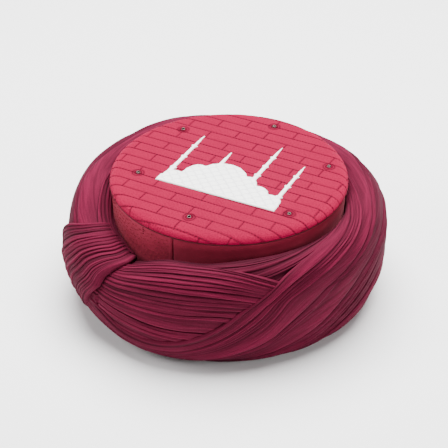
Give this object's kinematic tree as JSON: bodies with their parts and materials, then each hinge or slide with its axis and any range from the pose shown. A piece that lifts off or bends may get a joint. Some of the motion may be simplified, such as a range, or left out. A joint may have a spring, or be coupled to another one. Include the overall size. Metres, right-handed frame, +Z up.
{
  "type": "turban",
  "caption": "Ready-wound turban: stiff flat-topped cap, open below, with pleated cloth wound round it and tied by a loop at one side.",
  "frame": {"origin": "middle of the bounding box's footprint, on the surface that the turban stands on", "axes": "+Z up; +X to the right along the foot of the lid's badge, so the badge reads upright seen from -Y and above"},
  "size_m": [0.2568, 0.258, 0.1077],
  "materials": {
    "cap_cloth": "matt dark red cloth",
    "lid_cloth": "matt raspberry cloth quilted in a brick pattern",
    "wrap_cloth": "matt wine-red fine cotton in pleats",
    "badge_thread": "white satin-stitch embroidery",
    "eyelet_metal": "pale polished metal"
  },
  "bodies": {
    "root": {"crown_band": "cap_cloth", "crown_top": "lid_cloth", "mosque_motif": "badge_thread", "eyelet_1": "eyelet_metal", "eyelet_2": "eyelet_metal", "eyelet_3": "eyelet_metal", "eyelet_4": "eyelet_metal", "eyelet_5": "eyelet_metal", "eyelet_6": "eyelet_metal", "inner_turn": "wrap_cloth", "front_turn": "wrap_cloth", "outer_turn": "wrap_cloth", "knot_loop": "wrap_cloth"}
  },
  "joints": []
}
